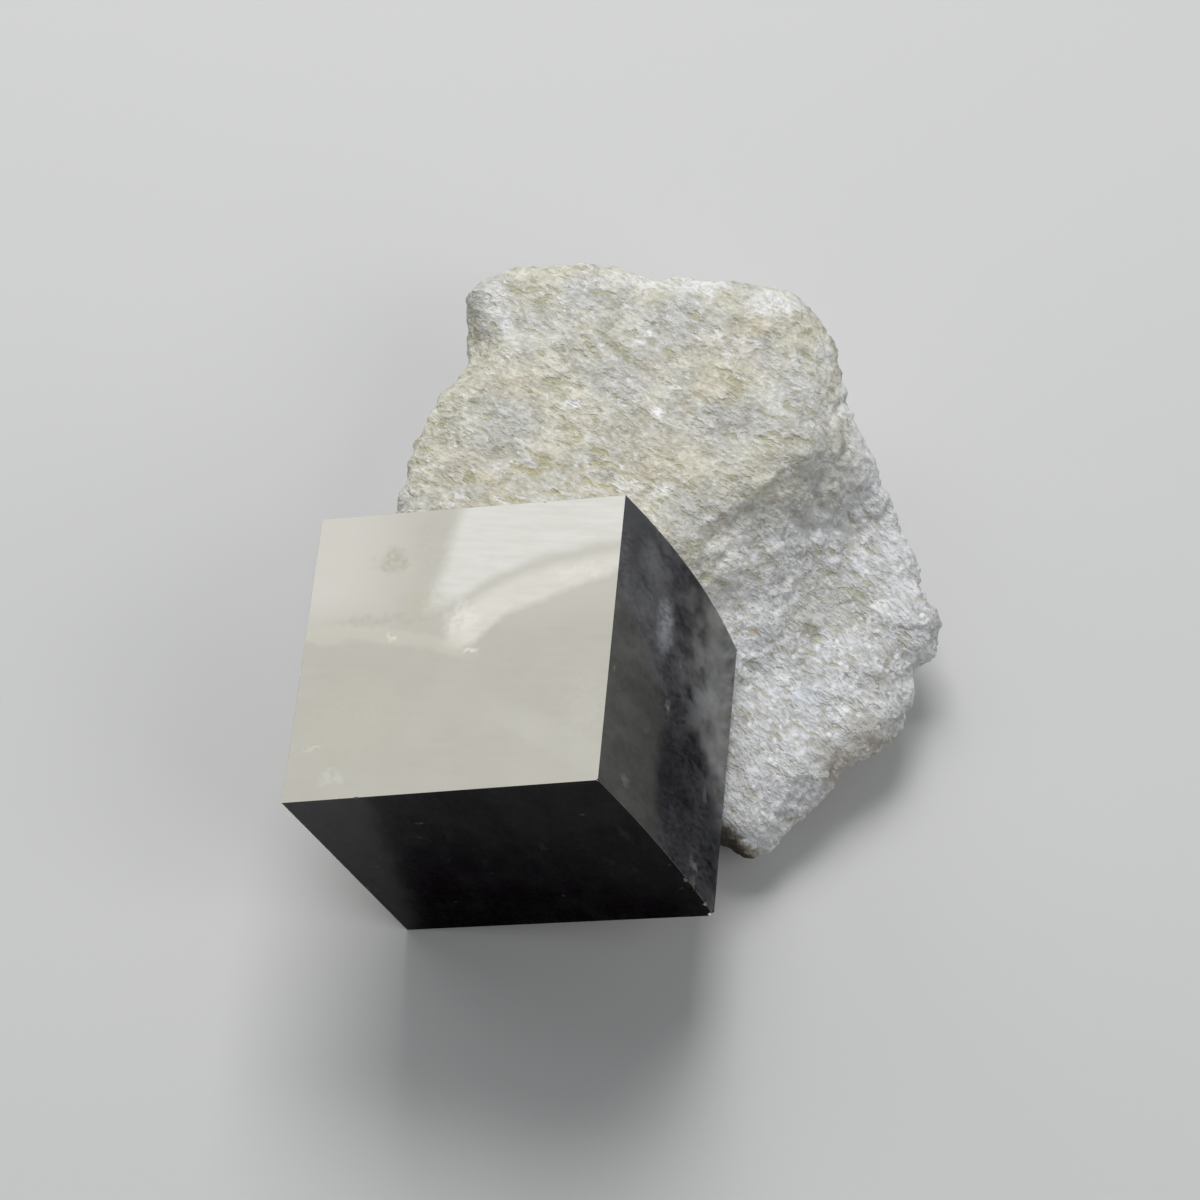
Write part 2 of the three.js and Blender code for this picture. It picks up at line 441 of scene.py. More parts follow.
# %% [markdown]
# ## Where the stone meets the crystal
# The solids leave a hair of a gap between the two pieces. The real ones are
# grown together. Joining them in one mesh would close the gap too, but each
# piece keeps its own finish more easily by itself. So the stone's points that
# lie close to the crystal are drawn onto it with a Shrinkwrap modifier, a touch
# below its surface, and the pull fades out away from it.

# %% Close the seat
SEAT_NEAR = 0.4  # mm from the crystal, drawn in fully
SEAT_FAR = 1.0  # mm from the crystal, left alone
SEAT_DEPTH = 0.12  # mm under the crystal's surface
ABOVE_TABLE = 0.1  # mm, the foot stays as it is

leaned = Matrix.Translation(CUBE_FOOT) @ Euler(LEANING).to_matrix().to_4x4()
to_crystal = leaned.inverted()
seat = stone.vertex_groups.new(name="seat")
drawn_in = 0
for point in stone.data.vertices:
    across, back, up = to_crystal @ point.co / MM
    outside = [
        abs(across - CUBE_WIDTH / 2) - CUBE_WIDTH / 2 - BULGE_FRONT,
        abs(back - CUBE_DEPTH / 2) - CUBE_DEPTH / 2,
        abs(up - CUBE_HEIGHT / 2) - CUBE_HEIGHT / 2,
    ]
    closeness = rise(math.hypot(*[max(0, v) for v in outside]), SEAT_FAR, SEAT_NEAR)
    if closeness > 0 and point.co.z > ABOVE_TABLE * MM:
        seat.add([point.index], closeness, "REPLACE")
        drawn_in += 1
wrap = stone.modifiers.new("seat", "SHRINKWRAP")
wrap.target = crystal
wrap.vertex_group = "seat"
wrap.wrap_method = "NEAREST_SURFACEPOINT"
wrap.wrap_mode = "ON_SURFACE"
wrap.offset = -SEAT_DEPTH * MM
only(stone)
bpy.ops.object.modifier_apply(modifier=wrap.name)
print("seat closed at", drawn_in, "points")


# %% [markdown]
# ## Helpers for materials
# Each finish is a net of nodes that would be wired with the mouse in the Shader
# Editor. In code a few helpers keep such a net readable: one places a node and
# joins its inputs, others do sums, smooth steps and mixes of two colours, and
# the last two make a node group and put it to use.


# %% Node helpers
def place(tree, kind, inputs=None, **options):
    """Adds a node; an input given as a socket is linked, any other is set."""
    made = tree.nodes.new(kind)
    for option, value in options.items():
        setattr(made, option, value)
    for name, value in (inputs or {}).items():
        if isinstance(value, bpy.types.NodeSocket):
            tree.links.new(value, made.inputs[name])
        else:
            made.inputs[name].default_value = value
    return made


def sum_of(tree, operation, a, b=0.0, c=0.0):
    """The output of a Math node."""
    return place(tree, "ShaderNodeMath", {0: a, 1: b, 2: c}, operation=operation).outputs[0]


def times(tree, a, b):
    """Two values multiplied, which also keeps what is in both of two masks."""
    return sum_of(tree, "MULTIPLY", a, b)


def vector_sum(tree, operation, a, b):
    """The node of a sum with vectors; what it puts out depends on the operation."""
    return place(tree, "ShaderNodeVectorMath", {0: a, 1: b}, operation=operation)


def ramp(tree, value, low, high, to_low=0.0, to_high=1.0):
    """A smooth step from to_low to to_high while value goes from low to high."""
    inputs = {0: value, 1: low, 2: high, 3: to_low, 4: to_high}
    return place(tree, "ShaderNodeMapRange", inputs, interpolation_type="SMOOTHSTEP").outputs[0]


def noise(tree, vector, scale, detail):
    """Even noise, about 0.3 to 0.7; a larger scale gives smaller spots."""
    inputs = {"Vector": vector, "Scale": scale, "Detail": detail}
    return place(tree, "ShaderNodeTexNoise", inputs).outputs[0]


def mixed(tree, share, first, second, blend="MIX"):
    """The colour between two colours, each a socket or red, green and blue."""
    first, second = [(*c, 1) if isinstance(c, tuple) else c for c in (first, second)]
    inputs = {0: share, 6: first, 7: second}
    return place(tree, "ShaderNodeMix", inputs, data_type="RGBA", blend_type=blend).outputs[2]


# %% Group helpers
def new_group(name, inputs, output):
    """An empty node group; inputs are (name, socket type, value), and one float comes out."""
    group = bpy.data.node_groups.new(name, "ShaderNodeTree")
    for label, kind, value in inputs:
        socket_type = "NodeSocket" + kind
        socket = group.interface.new_socket(label, in_out="INPUT", socket_type=socket_type)
        if value is not None:
            socket.default_value = value
    group.interface.new_socket(output, in_out="OUTPUT", socket_type="NodeSocketFloat")
    start = group.nodes.new("NodeGroupInput").outputs
    end = group.nodes.new("NodeGroupOutput").inputs
    return group, start, end[output]


def use_group(tree, group, inputs):
    """Places a group in a material with its inputs, and gives what comes out."""
    return place(tree, "ShaderNodeGroup", inputs, node_tree=group).outputs[0]


# %% [markdown]
# ## Effects that the finishes share
# Both the rock's grain and the crystal's growth marks are noise drawn out in
# one direction. Scattered specks, and single soft smudges at a known place,
# also turn up more than once. The same nodes could be wired anew each time, but
# a group is built and mended once, and shows its size and place as inputs.

# %% Drawn-out noise
drawn_noise, given, result = new_group(
    "drawn_noise",
    [
        ("Vector", "Vector", None),
        ("Size", "Float", 0.3),
        ("Stretch", "Float", 3.0),
        ("Detail", "Float", 3.0),
        ("Shift", "Float", 0.0),
    ],
    "Value",
)
shifted = vector_sum(drawn_noise, "ADD", given["Vector"], given["Shift"]).outputs[0]
long_size = times(drawn_noise, given["Size"], given["Stretch"])
size_list = {0: long_size, 1: given["Size"], 2: given["Size"]}
sizes = place(drawn_noise, "ShaderNodeCombineXYZ", size_list).outputs[0]
drawn_place = vector_sum(drawn_noise, "DIVIDE", shifted, sizes).outputs[0]
drawn = place(
    drawn_noise,
    "ShaderNodeTexNoise",
    {"Vector": drawn_place, "Scale": 1.0, "Detail": given["Detail"], "Roughness": 0.6},
)
drawn_noise.links.new(ramp(drawn_noise, drawn.outputs[0], 0.3, 0.7), result)


def drawn_out(tree, vector, size, stretch, detail, shift=0.0):
    """That noise along X: its size and how much longer it is; a shift gives other noise."""
    inputs = {"Vector": vector, "Size": size, "Stretch": stretch, "Detail": detail, "Shift": shift}
    return use_group(tree, drawn_noise, inputs)


# %% Specks
specks, given, result = new_group(
    "specks",
    [("Vector", "Vector", None), ("Size", "Float", 0.4), ("Share", "Float", 0.1)],
    "Mask",
)
speck_place = vector_sum(specks, "DIVIDE", given["Vector"], given["Size"]).outputs[0]
cells = place(specks, "ShaderNodeTexVoronoi", {"Vector": speck_place, "Scale": 1.0})
cell_number = place(specks, "ShaderNodeSeparateColor", {0: cells.outputs["Color"]}).outputs[0]
chosen = sum_of(specks, "LESS_THAN", cell_number, given["Share"])
core = ramp(specks, cells.outputs["Distance"], 0.25, 0.5, 1.0, 0.0)
specks.links.new(times(specks, chosen, core), result)

# %% Smudges
smudge, given, result = new_group(
    "smudge",
    [("Vector", "Vector", None), ("Centre", "Vector", None), ("Reach", "Vector", None)],
    "Mask",
)
away = vector_sum(smudge, "SUBTRACT", given["Vector"], given["Centre"]).outputs[0]
how_far = vector_sum(smudge, "DIVIDE", away, given["Reach"]).outputs[0]
how_far = place(smudge, "ShaderNodeVectorMath", {0: how_far}, operation="LENGTH").outputs["Value"]
smudge.links.new(ramp(smudge, how_far, 0.25, 1.0, 1.0, 0.0), result)


def smudge_at(tree, vector, centre, reach):
    """1 at the centre and 0 beyond the reach, which is given for each direction."""
    return use_group(tree, smudge, {"Vector": vector, "Centre": centre, "Reach": reach})


def spotted(tree, tone, vector, spots, breaker, low, high, least):
    """Lays spots over a tone; a spot is broken up, down to its least share where breaker is low."""
    for centre, reach, colour, strength in spots:
        mask = smudge_at(tree, vector, centre, reach)
        broken = times(tree, mask, ramp(tree, breaker, low, high, strength * least, strength))
        tone = mixed(tree, broken, tone, colour)
    return tone


print("groups:", [g.name for g in bpy.data.node_groups])


# %% [markdown]
# ## Marl: the grain
# Marl like this is a mass of sugar-sized grains of carbonate, from glassy white
# to olive grey, drawn out in one direction. A picture of rock could be wrapped
# around the block, but its seams and stretched sides would show. Noise in the
# stone's own millimetres has no seams. It is made once coarse and once fine,
# and on the low part the fine grain runs another way.

# %% Sizes of grain
marl = bpy.data.materials.new("sugary_marl")
marl.use_nodes = True
net = marl.node_tree
spot = place(net, "ShaderNodeTexCoord").outputs["Object"]


def in_mm(tree, spot, turn=0):
    """Object coordinates in millimetres, turned by that many degrees about the upright axis."""
    turning = (0, 0, math.radians(turn))
    inputs = {"Vector": spot, "Rotation": turning, "Scale": (1 / MM, 1 / MM, 1 / MM)}
    return place(tree, "ShaderNodeMapping", inputs).outputs[0]


stone_mm = in_mm(net, spot)
grain_place = in_mm(net, spot, 32)  # along the grain of the plateau
low_grain_place = in_mm(net, spot, 55)  # and of the lower part
height = place(net, "ShaderNodeSeparateXYZ", {0: stone_mm}).outputs[2]
UP_THE_STEP = (7, 13)  # mm above the table, from the terrace to the plateau

coarse = drawn_out(net, grain_place, 0.8, 1.7, 4)
high_fine = drawn_out(net, grain_place, 0.3, 1.5, 3)
low_fine = drawn_out(net, low_grain_place, 0.28, 2.3, 3)
by_height = {0: ramp(net, height, 8, 12), 2: low_fine, 3: high_fine}
fine = place(net, "ShaderNodeMix", by_height).outputs[0]
patches = noise(net, grain_place, 0.4, 3)

coarse_grain = times(net, coarse, ramp(net, height, *UP_THE_STEP, 0.54, 0.45))
fine_share = ramp(net, height, *UP_THE_STEP, 0.58, 0.42)  # the lower part is crisper
grain = sum_of(net, "MULTIPLY_ADD", fine, fine_share, coarse_grain)
grain = sum_of(net, "ADD", grain, ramp(net, patches, 0.35, 0.65, 0.01, 0.26))
print("grain takes", len(net.nodes), "nodes")

# %% Flecks and pits
white = drawn_out(net, grain_place, 0.5, 1.8, 3, 31)
olive = drawn_out(net, grain_place, 0.75, 2.4, 3, 57)
huddle = noise(net, grain_place, 0.7, 2)  # grains come in clusters
crowded = sum_of(net, "MULTIPLY_ADD", huddle, 0.7, -0.35)
flecks = ramp(net, sum_of(net, "ADD", white, crowded), 0.84, 1.05)
pits = ramp(net, olive, 0.27, 0.04)
print("with flecks and pits", len(net.nodes), "nodes")

# %% [markdown]
# ## Marl: the colours
# A Color Ramp turns the grain into tones from olive shade to white. Iron has
# stained the plateau in warm clouds, which a ramp over the height keeps off the
# whiter, lower part. A tint multiplies the tones, as a stain in real rock dims
# what is under it and doesn't cover it. Flecks and pits are laid over it last:
# they are single grains and keep their own colour. White glints go on with them,
# painted highlights on single grains.

# %% Tones of the grain
MARL_TONES = [  # how much grain, and its colour
    (0.10, (0.43, 0.42, 0.36)),
    (0.35, (0.54, 0.53, 0.49)),
    (0.55, (0.62, 0.615, 0.59)),
    (0.75, (0.69, 0.69, 0.68)),
    (0.95, (0.80, 0.80, 0.80)),
]
tones = place(net, "ShaderNodeValToRGB", {"Fac": grain})
while len(tones.color_ramp.elements) < len(MARL_TONES):
    tones.color_ramp.elements.new(0.5)
for element, (position, colour) in zip(tones.color_ramp.elements, MARL_TONES):
    element.position = position
    element.color = (*colour, 1)
print("marl has", len(MARL_TONES), "tones")

# %% Warm clouds
COOL = (0.965, 0.97, 0.985)
WARM = (1.0, 0.965, 0.82)
BLUSH = (1.0, 0.92, 0.81)
TAN = (1.0, 0.91, 0.76)
OCHRE = (1.0, 0.93, 0.68)
TAN_CLOUDS = [  # centre and reach in mm, colour, strength
    ((9.0, 18.0, 14.9), (2.4, 1.6, 3), TAN, 0.8),
    ((6.7, 13.6, 14.6), (3.0, 1.8, 3), TAN, 0.7),
    ((-7.5, 13.2, 14.6), (2.6, 1.3, 3), TAN, 0.8),
    ((1.6, 14.7, 14.5), (1.8, 1.2, 3), TAN, 0.6),
    ((-10.9, 7.5, 13.7), (2.6, 2.0, 3), TAN, 0.6),
    ((2.5, 7.0, 13.7), (4.5, 2.2, 3), TAN, 0.6),
]
clouds = noise(net, grain_place, 0.2, 3)
warm_height = ramp(net, height, 9.0, 13.3)
warmth = times(net, warm_height, ramp(net, clouds, 0.35, 0.65, 0.2, 1.0))
tint = mixed(net, warmth, COOL, WARM)
blush = times(net, ramp(net, huddle, 0.58, 0.72), warm_height)
tint = mixed(net, times(net, blush, 0.8), tint, BLUSH)
tint = spotted(net, tint, stone_mm, TAN_CLOUDS, coarse, 0.2, 0.7, 0.4)
ochre = smudge_at(net, stone_mm, (-5.0, 6.0, 13.5), (11, 5, 7))  # behind the crystal
ochre = times(net, ochre, ramp(net, olive, 0.55, 0.1, 0.1, 0.9))
tint = mixed(net, ochre, tint, OCHRE)
tone = mixed(net, 1.0, tones.outputs[0], tint, blend="MULTIPLY")
print("with warm clouds", len(net.nodes), "nodes")

# %% Single grains
FLECK = (0.88, 0.88, 0.90)
PIT = (0.42, 0.395, 0.24)
# painted highlight: glints on single grains
PAINTED_GLINT = (0.95, 0.95, 0.97)
tone = mixed(net, times(net, flecks, 0.7), tone, FLECK)
tone = mixed(net, times(net, pits, ramp(net, height, 5, 12, 0.55, 0.6)), tone, PIT)
painted_glints = use_group(net, specks, {"Vector": grain_place, "Size": 0.5, "Share": 0.2})
tone = mixed(net, times(net, painted_glints, ramp(net, height, *UP_THE_STEP, 0.8, 0.25)), tone, PAINTED_GLINT)
print("with single grains", len(net.nodes), "nodes")

# %% [markdown]
# ## Marl: its own marks, and painted light and shade
# Noise alone makes every stone of a kind look alike. What makes this one known
# again are its lit back rim and the lit strip on its right, both painted
# highlights, painted shade on its step and in a hollow and a crease, and a few
# large grains that are lighter or darker than the rest, some of them painted
# glints. They could be painted by hand on a texture. Here each is a smudge at its
# own place in the stone, so it needs no image and stays put from every side, and
# the fine grain breaks it up, so that it has no drawn edge.

# %% Marks on the stone
# painted highlight: light caught along the back rim
PAINTED_RIM_LIGHT = (0.92, 0.92, 0.93)
SUGAR = (0.98, 0.98, 0.98)
# painted highlight: light caught along the right rim
PAINTED_STRIP_LIGHT = (0.80, 0.81, 0.83)
RIM_TAN = (0.44, 0.38, 0.29)
STONE_SPOTS = [  # centre and reach in mm, colour, strength
    # the plateau: a painted highlight along its lit back rim, and white grains
    ((1.0, 21.9, 14.3), (8.5, 1.2, 2.5), PAINTED_RIM_LIGHT, 0.45),
    ((5.6, 21.5, 14.4), (2.6, 1.1, 2.5), PAINTED_RIM_LIGHT, 0.7),
    ((10.6, 20.0, 14.4), (3.2, 1.8, 2.5), PAINTED_RIM_LIGHT, 0.8),
    ((-9.2, 20.4, 14.2), (1.3, 2.4, 3), PAINTED_RIM_LIGHT, 0.55),
    ((-8.4, 18.6, 13.9), (0.8, 1.6, 3), PAINTED_RIM_LIGHT, 0.6),
    ((1.6, 17.8, 14.3), (0.8, 0.5, 2), SUGAR, 0.8),
    ((0.9, 16.9, 14.3), (0.7, 0.4, 2), SUGAR, 0.8),
    ((-3.8, 12.1, 14.1), (1.2, 0.45, 2), SUGAR, 1.0),
    ((2.2, 11.4, 14.3), (0.8, 0.7, 2), SUGAR, 1.0),
    ((0.3, 5.9, 13.6), (1.6, 0.6, 2), SUGAR, 0.8),
    ((2.4, 5.5, 13.6), (1.2, 0.8, 2), SUGAR, 0.8),
    # the terrace: an olive veil, a bluish one, tan on the rim
    ((14.0, -0.5, 7.5), (5.5, 3.0, 4), (0.50, 0.48, 0.39), 0.4),
    ((12.1, -6.6, 6.3), (3.2, 2.4, 3), (0.80, 0.83, 0.88), 0.5),
    ((16.6, -9.3, 4.6), (2.6, 2.2, 3), RIM_TAN, 0.7),
    ((14.6, -11.4, 4.6), (2.4, 2.0, 3), RIM_TAN, 0.7),
    # the right rim: a painted highlight along it, with painted shade in a hollow beside it
    ((14.0, 16.8, 12.8), (1.3, 2.4, 2.5), PAINTED_STRIP_LIGHT, 0.6),
    ((15.6, 14.0, 11.4), (1.2, 2.4, 2.5), PAINTED_STRIP_LIGHT, 0.65),
    ((16.7, 11.2, 10.6), (1.2, 2.4, 2.5), PAINTED_STRIP_LIGHT, 0.65),
    ((17.7, 8.2, 9.0), (1.2, 2.6, 2.5), PAINTED_STRIP_LIGHT, 0.65),
    ((18.6, 5.0, 7.6), (1.2, 2.6, 2.5), PAINTED_STRIP_LIGHT, 0.55),
    ((15.0, 10.4, 11.4), (1.2, 1.8, 2.0), (0.33, 0.33, 0.30), 0.5),
    # the step: greyer with painted shade; the low end of the terrace: whiter
    ((12.5, 7.5, 12.3), (4.8, 3.2, 3.0), (0.36, 0.365, 0.38), 0.4),
    ((10.5, -12.5, 6.0), (4.0, 4.0, 3.0), (0.88, 0.88, 0.91), 0.35),
    # painted glints, white on single grains
    ((15.2, -7.7, 6.1), (0.8, 0.6, 2), (0.97, 0.97, 0.97), 0.9),
    ((17.9, -0.1, 7.0), (0.9, 0.7, 2), (0.97, 0.97, 0.97), 0.8),
    ((11.6, 0.2, 8.0), (1.0, 0.9, 2), (0.95, 0.95, 0.97), 0.7),
    ((10.9, -5.5, 6.5), (1.0, 0.6, 2), (0.95, 0.94, 0.93), 0.7),
    ((16.0, 7.4, 8.2), (1.3, 0.9, 2), (0.92, 0.92, 0.91), 0.6),
    # dark olive grains, painted shade in a crease, and one ochre grain
    ((13.0, -1.8, 6.9), (0.9, 0.5, 2), (0.28, 0.27, 0.17), 0.8),
    ((17.7, -5.4, 6.2), (1.4, 0.9, 2), (0.38, 0.37, 0.26), 0.6),
    ((7.8, -1.1, 8.8), (0.8, 0.4, 2), (0.25, 0.25, 0.19), 0.8),
    ((8.3, -5.8, 6.6), (0.9, 0.5, 2), (0.25, 0.26, 0.20), 0.8),
    ((8.9, -4.6, 6.9), (1.1, 0.4, 2), (0.30, 0.29, 0.22), 0.6),
    ((15.5, 5.4, 8.3), (2.2, 0.6, 2), (0.34, 0.33, 0.28), 0.6),
    ((8.9, -2.6, 8.0), (0.6, 0.4, 2), (0.62, 0.50, 0.24), 0.6),
]
tone = spotted(net, tone, stone_mm, STONE_SPOTS, fine, 0.15, 0.7, 0.4)
print("stone has", len(STONE_SPOTS), "marks of its own")

# %% [markdown]
# ## Marl: the stain
# The low end beside the crystal is stained brown, and darkened to black by
# painted shade where that face turns away from the light, up to a little ridge
# where it stops. A smudge alone would fade out evenly all round. So it only
# gives the stain its place, and a plane along the ridge cuts it off: one dot
# product says how far a point is past that plane. The coarse grain frays the
# edge, and the brown reaches a bit further than the black.

# %% Brown stain, and black painted shade
STAIN_BROWN = (0.22, 0.17, 0.09)
# the stain darkened to black by painted shade
STAIN_AND_SHADE_BLACK = (0.035, 0.026, 0.018)
RIM_BROWN = (0.42, 0.35, 0.25)
STAIN_EDGE = (0.771, 0.574, 0.277)  # points away from the stain, square to the ridge
STAIN_STOP = -2.124  # mm along that direction
stain = smudge_at(net, stone_mm, (6.6, -17.2, 2.4), (4.5, 4.0, 5.0))
along_edge = vector_sum(net, "DOT_PRODUCT", stone_mm, STAIN_EDGE).outputs["Value"]
past_edge = sum_of(net, "SUBTRACT", along_edge, STAIN_STOP)
past_edge = sum_of(net, "MULTIPLY_ADD", coarse, 0.5, past_edge)
brown = times(net, stain, ramp(net, past_edge, 0.45, -0.1))
# painted shade over the stain, darker than the brown
stain_and_shade = times(net, stain, ramp(net, past_edge, 0.05, -0.6))
tone = mixed(net, times(net, brown, 0.85), tone, STAIN_BROWN)
tone = mixed(net, stain_and_shade, tone, STAIN_AND_SHADE_BLACK)
# brown low on the front rim: partly the stone's colour, partly painted shade of the low flank
low_rim_brown_and_shade = smudge_at(net, stone_mm, (14.5, -11.8, 1.5), (5.5, 5.5, 3.4))
low_rim_brown_and_shade = times(net, low_rim_brown_and_shade, ramp(net, patches, 0.4, 0.6, 0.15, 0.5))
tone = mixed(net, low_rim_brown_and_shade, tone, RIM_BROWN)
print("with the stain", len(net.nodes), "nodes")

# %% [markdown]
# ## Marl: relief and gloss
# The smallest grains are finer than the mesh. More triangles would show them,
# but millions of them. A Bump node tilts the light instead, by the same grain
# that colours the stone, so that light grains stand up and pits lie deep. The
# white flecks are glossier than the rest, as clean crystals are.

# %% Relief and gloss of the marl
relief = sum_of(net, "MULTIPLY_ADD", pits, -0.4, grain)
bump = place(net, "ShaderNodeBump", {"Strength": 0.75, "Distance": 0.2 * MM, "Height": relief})
marl_shader = net.nodes["Principled BSDF"]
net.links.new(tone, marl_shader.inputs["Base Color"])
net.links.new(ramp(net, flecks, 0.0, 1.0, 0.72, 0.45), marl_shader.inputs["Roughness"])
net.links.new(bump.outputs[0], marl_shader.inputs["Normal"])
stone.data.materials.append(marl)
print("marl finish has", len(net.nodes), "nodes")


# %% [markdown]
# ## Pyrite: the bright face
# Pyrite is a metal to the eye, silvery with a breath of brass. The bright face
# is not one mirror: growth hills of barely a degree meet on it in soft-edged
# fields, and each field returns another shade of the lamp. If such faint hills
# were modelled, they would show only while something bright is mirrored in them.
# So the fields are painted reflections in the base colour and stay in place: a
# Float Curve draws each edge across the face, in the crystal's own millimetres.


# %% Crystal's own directions
def crystal_place(tree, turning):
    """Millimetres across, back and up in the crystal; and the same, turned by those angles."""
    spot = place(tree, "ShaderNodeTexCoord").outputs["Object"]
    leaning = {"Vector": spot, "Location": CUBE_FOOT, "Rotation": LEANING, "Scale": (MM, MM, MM)}
    own = place(tree, "ShaderNodeMapping", leaning, vector_type="TEXTURE").outputs[0]
    turned = place(tree, "ShaderNodeMapping", {"Vector": own, "Rotation": turning}).outputs[0]
    return own, turned


def warped(tree, own, amount):
    """The same place, pushed about by noise, so that what is drawn there looks grown."""
    inputs = {"Vector": own, "Scale": 1.3, "Detail": 3.0}
    push = place(tree, "ShaderNodeTexNoise", inputs).outputs["Color"]
    push = vector_sum(tree, "SUBTRACT", push, (0.5, 0.5, 0.5)).outputs[0]
    inputs = {0: push, "Scale": amount}
    push = place(tree, "ShaderNodeVectorMath", inputs, operation="SCALE").outputs[0]
    return vector_sum(tree, "ADD", own, push).outputs[0]


# %% Lines across a face
SPAN = 25.0  # mm, how far the curves reach


def past_line(tree, along, value, points, wander):
    """How far value is beyond the line through these (along, value) points, in mm."""
    curve = place(tree, "ShaderNodeFloatCurve", {"Value": sum_of(tree, "DIVIDE", along, SPAN)})
    line = curve.mapping.curves[0]
    while len(line.points) < len(points):
        line.points.new(0.5, 0.5)
    for point, (x, y) in zip(line.points, points):
        point.location = (x / SPAN, y / SPAN)
    curve.mapping.update()
    beyond = sum_of(tree, "SUBTRACT", value, times(tree, curve.outputs[0], SPAN))
    return sum_of(tree, "ADD", beyond, wander)


def field(tree, along, value, points, softness, wander):
    """1 where value is beyond that line, 0 before it, with an edge that soft on each side."""
    return ramp(tree, past_line(tree, along, value, points, wander), -softness, softness)


def strip(tree, along, value, points, half_width, wander):
    """1 on that line, fading to 0 that many mm to either side."""
    off = sum_of(tree, "ABSOLUTE", past_line(tree, along, value, points, wander))
    return ramp(tree, off, half_width * 0.3, half_width, 1.0, 0.0)


def metal(name, roughness, edge_tint):
    """A new metallic material; edge_tint is how bright it gets when seen at a flat angle."""
    material = bpy.data.materials.new(name)
    material.use_nodes = True
    shader = material.node_tree.nodes["Principled BSDF"]
    shader.inputs["Metallic"].default_value = 1
    shader.inputs["Roughness"].default_value = roughness
    shader.inputs["Specular Tint"].default_value = (edge_tint, edge_tint, edge_tint, 1)
    return material, material.node_tree, shader


# %% Fields of the bright face
SEAM = [  # where it runs, in mm along and across, as for all these lines
    (0, 12.8), (9, 13.0), (11.5, 14.1), (12.5, 14.7),
    (14.9, 15.8), (17.7, 16.5), (21.6, 17.1), (25, 17.5),
]
BAND_TOP = [
    (0, 11.9), (9.6, 11.9), (11.5, 13.2), (12.5, 13.9),
    (14.9, 15.0), (17.7, 15.7), (21.6, 16.3), (25, 16.8),
]
BAND_FOOT = [
    (0, 11.0), (9.6, 10.4), (12, 10.2), (12.9, 11.1),
    (13.8, 11.9), (17.3, 13.4), (21.8, 15.0), (25, 16),
]
LEFT_OF_FIELD = [(0, 6.0), (12, 8.5), (14.9, 9.1), (19.8, 10.3), (25, 11.6)]
LEFT_BAND = [(0, 11.8), (4, 11.6), (8, 11.0), (12, 9.9), (25, 9)]
LOW_STREAK = [(0, 9), (12, 6.4), (16, 4.6), (20.5, 2.2), (25, 0)]

bright_face, net, bright_shader = metal("pyrite_bright_face", 0.13, 1.0)
own, turned = crystal_place(net, (0, 0, math.radians(8)))
across, back, up = place(net, "ShaderNodeSeparateXYZ", {0: own}).outputs
ripple = noise(net, own, 0.5, 3)
wander = sum_of(net, "MULTIPLY_ADD", ripple, 1.4, -0.7)
slight = times(net, wander, 0.5)
marks = drawn_out(net, turned, 0.55, 6, 4)
marks_share = sum_of(net, "MULTIPLY_ADD", marks, 0.3, 0.7)

# the fields and bands below are painted reflections of the lamp, each a different shade
upper = field(net, across, back, SEAM, 0.65, slight)
right_of_seam = field(net, back, across, LEFT_OF_FIELD, 0.8, slight)
bright_reflection_field = times(net, times(net, upper, right_of_seam), marks_share)
below_top = sum_of(net, "SUBTRACT", 1.0, field(net, across, back, BAND_TOP, 0.65, slight))
above_foot = field(net, across, back, BAND_FOOT, 0.4, wander)
band = times(net, times(net, above_foot, below_top), ramp(net, across, 9.5, 12.0))
left_band = strip(net, across, back, LEFT_BAND, 0.9, wander)
left_band = times(net, left_band, ramp(net, across, 13, 11))
low_streak = strip(net, across, back, LOW_STREAK, 1.6, wander)
low_streak = times(net, low_streak, ramp(net, across, 12, 15))
# painted sheen: the lamp mirrored lighter in the left back corner of the face
left_painted_sheen = times(net, ramp(net, across, 8.5, 1.5), ramp(net, back, 11, 15))
print("fields take", len(net.nodes), "nodes")

# %% [markdown]
# ## Pyrite: colours of the bright face
# The colours go on one over another, from the broad to the small: two greys
# with a breath of brass, the fields and bands, which are painted reflections,
# and last the small spots and scratches that every polished-looking natural face
# has, the lightest of them painted reflections too. Noise breaks up each spot.
# The bump is so low that it shows only where it bends a reflection.

# %% Bright face, colours
haze = noise(net, own, 0.25, 4)
# painted reflections in the fields, bands and sheen; the drawn marks are real growth marks
REFLECTION_FIELDS_AND_MARKS = [  # mask, its strength, and colour
    (ramp(net, back, 10, 14), 0.35, (0.53, 0.515, 0.465)),
    (left_painted_sheen, 0.55, (0.60, 0.575, 0.53)),
    (marks, 0.12, (0.52, 0.505, 0.45)),
    (bright_reflection_field, 1.0, (0.62, 0.61, 0.57)),
    (band, marks_share, (0.605, 0.585, 0.53)),
    (left_band, 0.35, (0.55, 0.53, 0.44)),
    (low_streak, 0.18, (0.54, 0.53, 0.49)),
]
tone = mixed(net, haze, (0.39, 0.38, 0.33), (0.46, 0.445, 0.395))
for mask, strength, colour in REFLECTION_FIELDS_AND_MARKS:
    tone = mixed(net, times(net, mask, strength), tone, colour)
